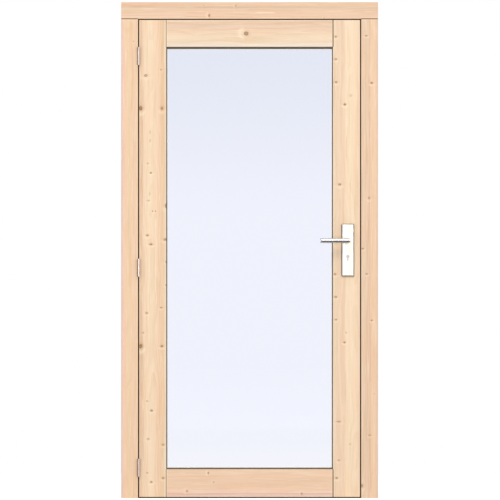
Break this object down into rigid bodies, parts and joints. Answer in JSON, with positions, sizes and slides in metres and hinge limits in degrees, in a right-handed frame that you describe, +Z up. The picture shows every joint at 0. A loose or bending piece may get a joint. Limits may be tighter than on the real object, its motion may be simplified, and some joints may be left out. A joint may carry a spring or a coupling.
{
  "type": "glazed door with its frame",
  "caption": "Softwood door leaf round one tall pane, hung on butt hinges in its own frame, with a lever handle on a long plate and a keyed mortise lock.",
  "frame": {"origin": "on the outer face of the hinge jamb, at floor level, halfway through the depth of the frame", "axes": "+X from the hinge jamb to the lock jamb, +Y from the front (the side the leaf opens to) to the back, +Z up"},
  "size_m": [1.085, 0.174, 2.095],
  "materials": {
    "frame_wood": "planed pale softwood under a clear matt coat",
    "stop_wood": "planed pale softwood under a clear matt coat",
    "leaf_wood": "planed pale softwood under a clear matt coat",
    "bead_wood": "planed pale softwood under a clear matt coat",
    "threshold_wood": "dark oiled hardwood",
    "seal": "matt brown",
    "gasket": "matt dark grey",
    "pane": "clear",
    "hinge_steel": "satin plated",
    "lock_steel": "satin",
    "cover_nickel": "satin nickel",
    "plate_metal": "pale satin",
    "lever_steel": "satin"
  },
  "bodies": {
    "frame": {"frame_head": "frame_wood", "hinge_jamb": "frame_wood", "lock_jamb": "frame_wood", "head_stop": "stop_wood", "hinge_side_stop": "stop_wood", "lock_side_stop": "stop_wood", "threshold": "threshold_wood", "head_seal": "seal", "hinge_side_seal": "seal", "lock_side_seal": "seal", "threshold_seal": "seal", "strike_plate": "lock_steel", "upper_hinge_frame_plate": "hinge_steel", "upper_hinge_pin": "hinge_steel", "middle_hinge_frame_plate": "hinge_steel", "middle_hinge_pin": "hinge_steel", "lower_hinge_frame_plate": "hinge_steel", "lower_hinge_pin": "hinge_steel"},
    "leaf": {"hinge_stile": "leaf_wood", "lock_stile": "leaf_wood", "top_rail": "leaf_wood", "bottom_rail": "leaf_wood", "glass_pane": "pane", "glazing_gasket": "gasket", "bottom_bead": "bead_wood", "top_bead": "bead_wood", "hinge_side_bead": "bead_wood", "lock_side_bead": "bead_wood", "upper_hinge_leaf_plate": "hinge_steel", "middle_hinge_leaf_plate": "hinge_steel", "lower_hinge_leaf_plate": "hinge_steel", "mortise_lock": "lock_steel", "latch_bolt": "lock_steel", "dead_bolt": "lock_steel", "outside_plate": "plate_metal", "outside_key_cover": "cover_nickel", "inside_plate": "plate_metal", "inside_key_cover": "cover_nickel"},
    "lever": {"outside_lever": "lever_steel", "inside_lever": "lever_steel", "spindle": "lock_steel"}
  },
  "joints": [
    {"name": "leaf_swing", "type": "hinge", "parent": "frame", "child": "leaf", "pos_m": [0.0735, -0.051, 1], "axis": [0, 0, -1], "range_deg": [0, 170]},
    {"name": "lever_turn", "type": "hinge", "parent": "leaf", "child": "lever", "pos_m": [0.957, -0.045, 1.088], "axis": [0, -1, 0], "range_deg": [0, 45], "stiffness_Nm_per_rad": 1.5, "springref_deg": -22.92}
  ]
}
